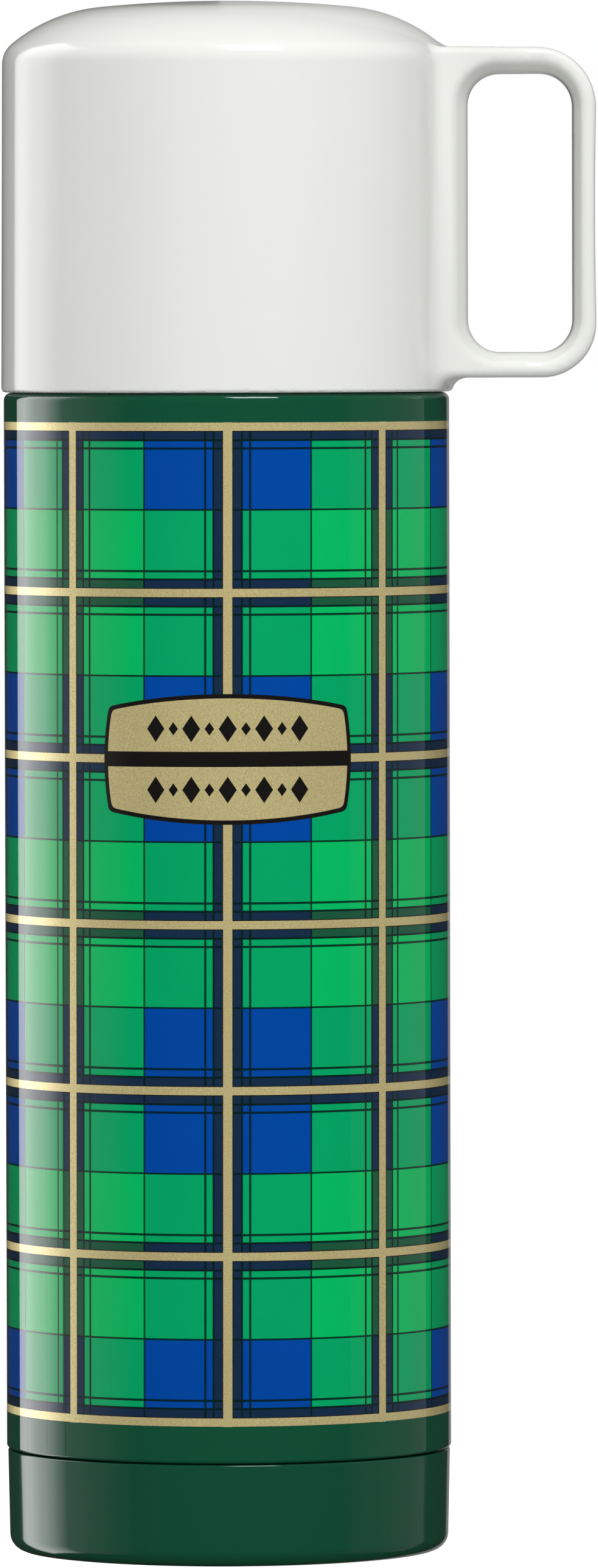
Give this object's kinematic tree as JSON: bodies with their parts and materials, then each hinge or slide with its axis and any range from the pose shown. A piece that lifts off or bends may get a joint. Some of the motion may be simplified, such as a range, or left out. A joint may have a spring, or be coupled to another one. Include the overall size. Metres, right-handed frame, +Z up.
{
  "type": "vacuum flask",
  "caption": "Slim cylindrical vacuum flask: double-walled steel body, screw-on cup with a closed handle, and a screw stopper with a push-to-pour valve.",
  "frame": {"origin": "middle of the base, on the plane it stands on", "axes": "+Z up along the flask's axis, +X from the axis towards the cup's handle"},
  "size_m": [0.0991, 0.0748, 0.2573],
  "materials": {
    "green_plastic": "gloss dark green",
    "printed_steel": "check print in greens, blue and metallic gold under gloss lacquer",
    "bare_steel": "brushed and electropolished",
    "braze": "dull",
    "copper": "bright foil",
    "silicone": "satin",
    "cup_plastic": "gloss off-white",
    "stopper_plastic": "satin off-white",
    "button_plastic": "satin dark green",
    "spring_steel": "bright wire"
  },
  "bodies": {
    "flask": {"base_cap": "green_plastic", "outer_shell": "printed_steel", "outer_bottom": "bare_steel", "vacuum_seal": "braze", "getter": "bare_steel", "inner_vessel": "bare_steel", "inner_bottom": "bare_steel", "copper_foil": "copper", "collar": "green_plastic", "collar_seal": "silicone"},
    "neck_ring": {"neck_ring": "silicone"},
    "cup": {"cup": "cup_plastic"},
    "stopper_gasket": {"stopper_gasket": "silicone"},
    "stopper": {"stopper_body": "stopper_plastic", "stopper_cover": "stopper_plastic", "cover_seal": "silicone", "stem_seal": "silicone", "button_spring": "spring_steel"},
    "button": {"pour_button": "button_plastic", "valve_stem": "spring_steel", "valve_disc": "stopper_plastic", "valve_seal": "silicone", "stem_clip": "spring_steel"}
  },
  "joints": [
    {"name": "cup_turn", "type": "hinge", "parent": "flask", "child": "neck_ring", "pos_m": [0, 0, 0.1945], "axis": [0, 0, 1], "range_deg": [0, 1170]},
    {"name": "cup_lift", "type": "slide", "parent": "neck_ring", "child": "cup", "axis": [0, 0, 1], "range_m": [0, 0.0392]},
    {"name": "stopper_lift", "type": "slide", "parent": "flask", "child": "stopper_gasket", "axis": [0, 0, 1], "range_m": [0, 0.0302]},
    {"name": "stopper_turn", "type": "hinge", "parent": "stopper_gasket", "child": "stopper", "pos_m": [0, 0, 0.2], "axis": [0, 0, 1], "range_deg": [0, 900]},
    {"name": "button_press", "type": "slide", "parent": "stopper", "child": "button", "axis": [0, 0, -1], "range_m": [0, 0.0035], "stiffness_N_per_m": 400, "springref_m": -0.006, "deforming": ["button_spring"]}
  ],
  "couplings": [
    {"joint": "cup_lift", "follows": "cup_turn", "m_per_rad": 0.0019099},
    {"joint": "stopper_lift", "follows": "stopper_turn", "m_per_rad": 0.0019099}
  ]
}
